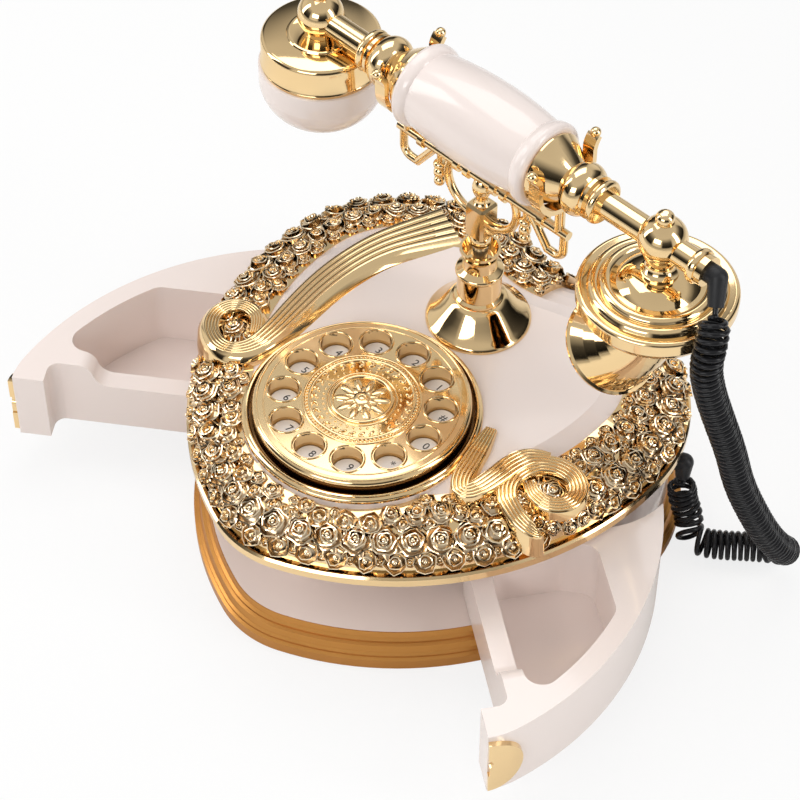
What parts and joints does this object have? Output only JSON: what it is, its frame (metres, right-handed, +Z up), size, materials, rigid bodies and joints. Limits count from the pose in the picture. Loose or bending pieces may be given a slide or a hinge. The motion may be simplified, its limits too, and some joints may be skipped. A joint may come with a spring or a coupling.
{
  "type": "desk telephone",
  "caption": "Ornamental heart-plan desk telephone with push-key dial, gold rose rim, bar cradle, lift-off handset with horn, curly cord and swing-out drawers.",
  "frame": {"origin": "middle of the flat underside, on the table", "axes": "+Z up, -Y to the front where the dial is, +X to the right where the mouthpiece is"},
  "size_m": [0.3371, 0.2271, 0.2253],
  "materials": {
    "ivory_case": "glossy",
    "gold_resin": "polished gold plating",
    "plinth_gold": "satin gold",
    "gold_metal": "polished gold plating",
    "black_plastic": "satin",
    "rubber": "matte",
    "steel": "plain",
    "electronics": "matte",
    "key_ivory": "glossy"
  },
  "bodies": {
    "base": {"base_plinth": "plinth_gold", "bay_ceiling": "ivory_case", "bay_floor": "ivory_case", "bottom_cover": "black_plastic", "bottom_screws": "steel", "centre_partition": "ivory_case", "cord_socket": "black_plastic", "curly_cord": "black_plastic", "dial_bezel": "gold_metal", "dial_hub": "gold_metal", "dial_rim": "gold_metal", "dial_webs": "gold_metal", "hinge_pins": "steel", "hook_spring": "steel", "hook_switch": "electronics", "keypad_board": "electronics", "keypad_membrane": "rubber", "line_jack": "black_plastic", "main_board": "electronics", "pedestal_bell": "gold_metal", "pedestal_collar": "gold_metal", "rear_housing": "ivory_case", "ribbons": "gold_resin", "rim_roses": "gold_resin", "ringer": "electronics", "rose_band": "gold_resin", "rubber_pads": "rubber", "top_shell": "ivory_case"},
    "handset": {"handset_grip": "ivory_case", "grip_connectors": "gold_metal", "ear_arm": "gold_metal", "mouth_arm": "gold_metal", "cord_grommet": "black_plastic", "ear_cap": "gold_metal", "ear_bowl": "ivory_case", "ear_speaker": "steel", "mouth_disc": "gold_metal", "mouth_dish": "gold_metal", "mouth_horn": "gold_metal", "microphone": "steel"},
    "hook": {"hook_plunger": "steel", "cradle_yoke": "gold_metal", "cradle_bar": "gold_metal", "cradle_prongs": "gold_metal"},
    "left_drawer": {"left_drawer": "ivory_case", "left_latch_plate": "gold_metal"},
    "right_drawer": {"right_drawer": "ivory_case", "right_latch_plate": "gold_metal"},
    "key_1": {"key_1": "key_ivory"},
    "key_2": {"key_2": "key_ivory"},
    "key_3": {"key_3": "key_ivory"},
    "key_4": {"key_4": "key_ivory"},
    "key_5": {"key_5": "key_ivory"},
    "key_6": {"key_6": "key_ivory"},
    "key_7": {"key_7": "key_ivory"},
    "key_8": {"key_8": "key_ivory"},
    "key_9": {"key_9": "key_ivory"},
    "key_star": {"key_star": "key_ivory"},
    "key_0": {"key_0": "key_ivory"},
    "key_hash": {"key_hash": "key_ivory"}
  },
  "joints": [
    {"name": "handset_lift", "type": "slide", "parent": "base", "child": "handset", "axis": [0, 0, 1], "range_m": [0, 0.12], "deforming": ["curly_cord"]},
    {"name": "hook_travel", "type": "slide", "parent": "base", "child": "hook", "axis": [0, 0, 1], "range_m": [0, 0.003], "deforming": ["hook_spring"]},
    {"name": "left_drawer_swing", "type": "hinge", "parent": "base", "child": "left_drawer", "pos_m": [-0.079, 0.028, 0.0378], "axis": [0, 0, 1], "range_deg": [0, 57]},
    {"name": "right_drawer_swing", "type": "hinge", "parent": "base", "child": "right_drawer", "pos_m": [0.079, 0.028, 0.0378], "axis": [0, 0, 1], "range_deg": [-53, 0]},
    {"name": "key_1_press", "type": "slide", "parent": "base", "child": "key_1", "axis": [0, 0, -1], "range_m": [0, 0.0015], "stiffness_N_per_m": 500, "springref_m": -0.0006},
    {"name": "key_2_press", "type": "slide", "parent": "base", "child": "key_2", "axis": [0, 0, -1], "range_m": [0, 0.0015], "stiffness_N_per_m": 500, "springref_m": -0.0006},
    {"name": "key_3_press", "type": "slide", "parent": "base", "child": "key_3", "axis": [0, 0, -1], "range_m": [0, 0.0015], "stiffness_N_per_m": 500, "springref_m": -0.0006},
    {"name": "key_4_press", "type": "slide", "parent": "base", "child": "key_4", "axis": [0, 0, -1], "range_m": [0, 0.0015], "stiffness_N_per_m": 500, "springref_m": -0.0006},
    {"name": "key_5_press", "type": "slide", "parent": "base", "child": "key_5", "axis": [0, 0, -1], "range_m": [0, 0.0015], "stiffness_N_per_m": 500, "springref_m": -0.0006},
    {"name": "key_6_press", "type": "slide", "parent": "base", "child": "key_6", "axis": [0, 0, -1], "range_m": [0, 0.0015], "stiffness_N_per_m": 500, "springref_m": -0.0006},
    {"name": "key_7_press", "type": "slide", "parent": "base", "child": "key_7", "axis": [0, 0, -1], "range_m": [0, 0.0015], "stiffness_N_per_m": 500, "springref_m": -0.0006},
    {"name": "key_8_press", "type": "slide", "parent": "base", "child": "key_8", "axis": [0, 0, -1], "range_m": [0, 0.0015], "stiffness_N_per_m": 500, "springref_m": -0.0006},
    {"name": "key_9_press", "type": "slide", "parent": "base", "child": "key_9", "axis": [0, 0, -1], "range_m": [0, 0.0015], "stiffness_N_per_m": 500, "springref_m": -0.0006},
    {"name": "key_star_press", "type": "slide", "parent": "base", "child": "key_star", "axis": [0, 0, -1], "range_m": [0, 0.0015], "stiffness_N_per_m": 500, "springref_m": -0.0006},
    {"name": "key_0_press", "type": "slide", "parent": "base", "child": "key_0", "axis": [0, 0, -1], "range_m": [0, 0.0015], "stiffness_N_per_m": 500, "springref_m": -0.0006},
    {"name": "key_hash_press", "type": "slide", "parent": "base", "child": "key_hash", "axis": [0, 0, -1], "range_m": [0, 0.0015], "stiffness_N_per_m": 500, "springref_m": -0.0006}
  ],
  "couplings": [
    {"joint": "hook_travel", "follows": "handset_lift", "ratio": 0.025}
  ]
}
